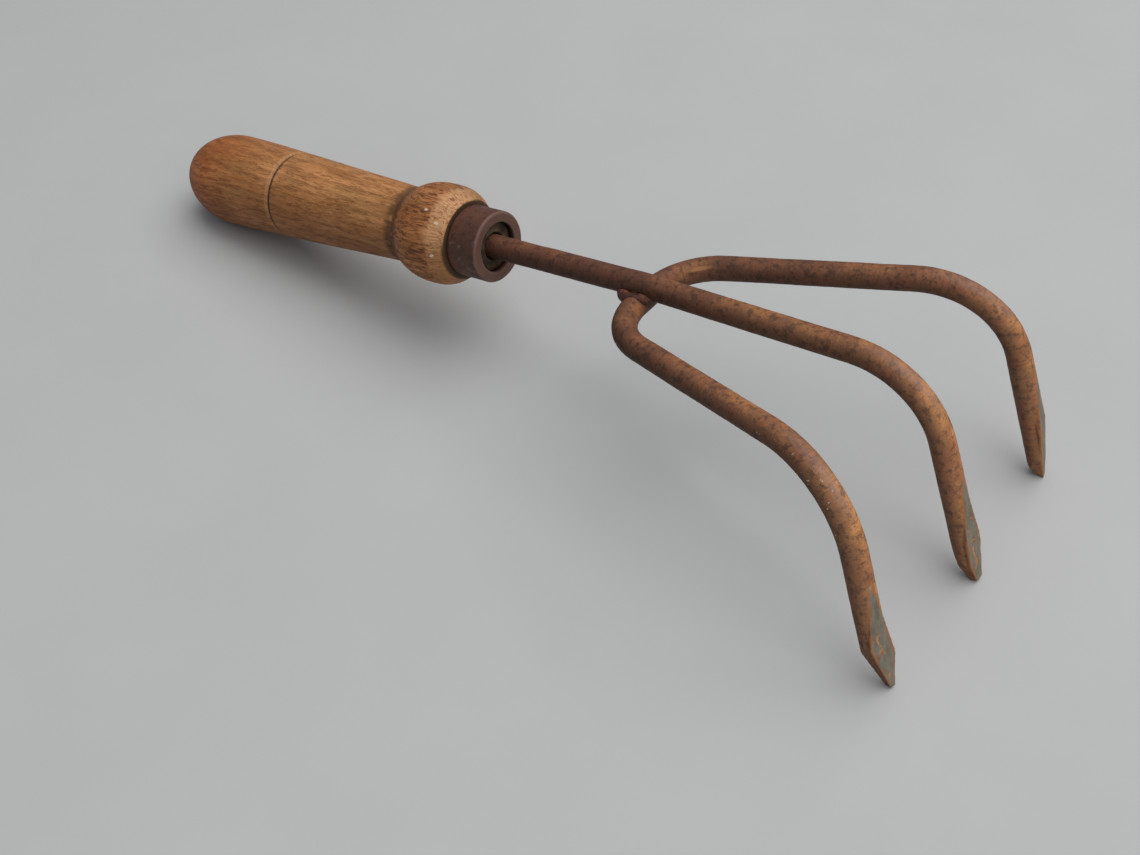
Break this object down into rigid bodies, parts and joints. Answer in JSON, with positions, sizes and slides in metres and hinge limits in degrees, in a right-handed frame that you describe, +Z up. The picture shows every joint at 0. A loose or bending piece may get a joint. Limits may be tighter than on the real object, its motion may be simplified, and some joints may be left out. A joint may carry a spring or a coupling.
{
  "type": "hand cultivator",
  "caption": "Short garden hand cultivator: a turned wooden grip, a steel ferrule cup and bent round-rod tines with ground tips, for loosening and raking soil.",
  "frame": {"origin": "on the ground, under the middle of the tool's length, with the tool at rest on its butt and its tine tips", "axes": "+X from the butt towards the tines, +Z up from the ground; the XZ plane runs through the handle, the shank and the middle tine"},
  "size_m": [0.2614, 0.0878, 0.0544],
  "materials": {
    "turned_wood": "worn oiled hardwood with open dark pores",
    "ferrule_steel": "dark purple-brown rust patina with grey scuffs",
    "rod_steel": "brown and orange surface rust, with bare grey-green ground flats at the tips",
    "weld_steel": "rough reddish-brown rust"
  },
  "bodies": {
    "root": {"handle": "turned_wood", "ferrule": "ferrule_steel", "shank_center_tine": "rod_steel", "outer_tine_yoke": "rod_steel", "weld_bead": "weld_steel"}
  },
  "joints": []
}
